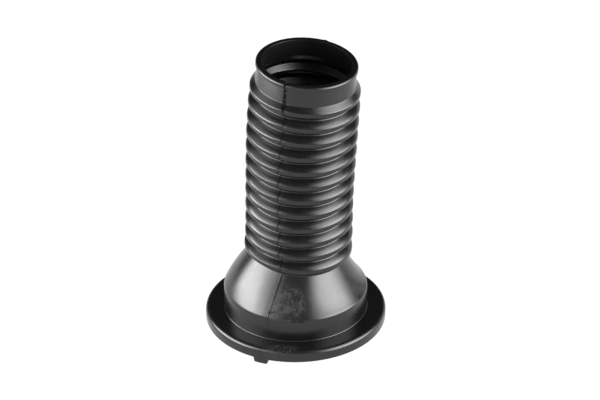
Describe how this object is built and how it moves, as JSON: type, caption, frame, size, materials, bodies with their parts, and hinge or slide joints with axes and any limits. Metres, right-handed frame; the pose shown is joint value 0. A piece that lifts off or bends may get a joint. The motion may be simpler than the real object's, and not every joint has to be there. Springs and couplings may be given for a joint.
{
  "type": "rubber bellows boot",
  "caption": "Tall moulded rubber dust boot: open collar, ringed folds, cone and a flat spring-seat flange with a locating tab.",
  "frame": {"origin": "on the flange's axis, level with the foot of the locating tab; the flange's seat is 2.5 mm above it", "axes": "+Z along the flange's axis, from the flange to the collar; -Y is the front, with the tab to its left; the folds and collar lean 4.3 degrees, to the front and the right"},
  "size_m": [0.104, 0.104, 0.1696],
  "materials": {
    "black_rubber": "satin"
  },
  "bodies": {
    "root": {"bellows_boot": "black_rubber"}
  },
  "joints": []
}
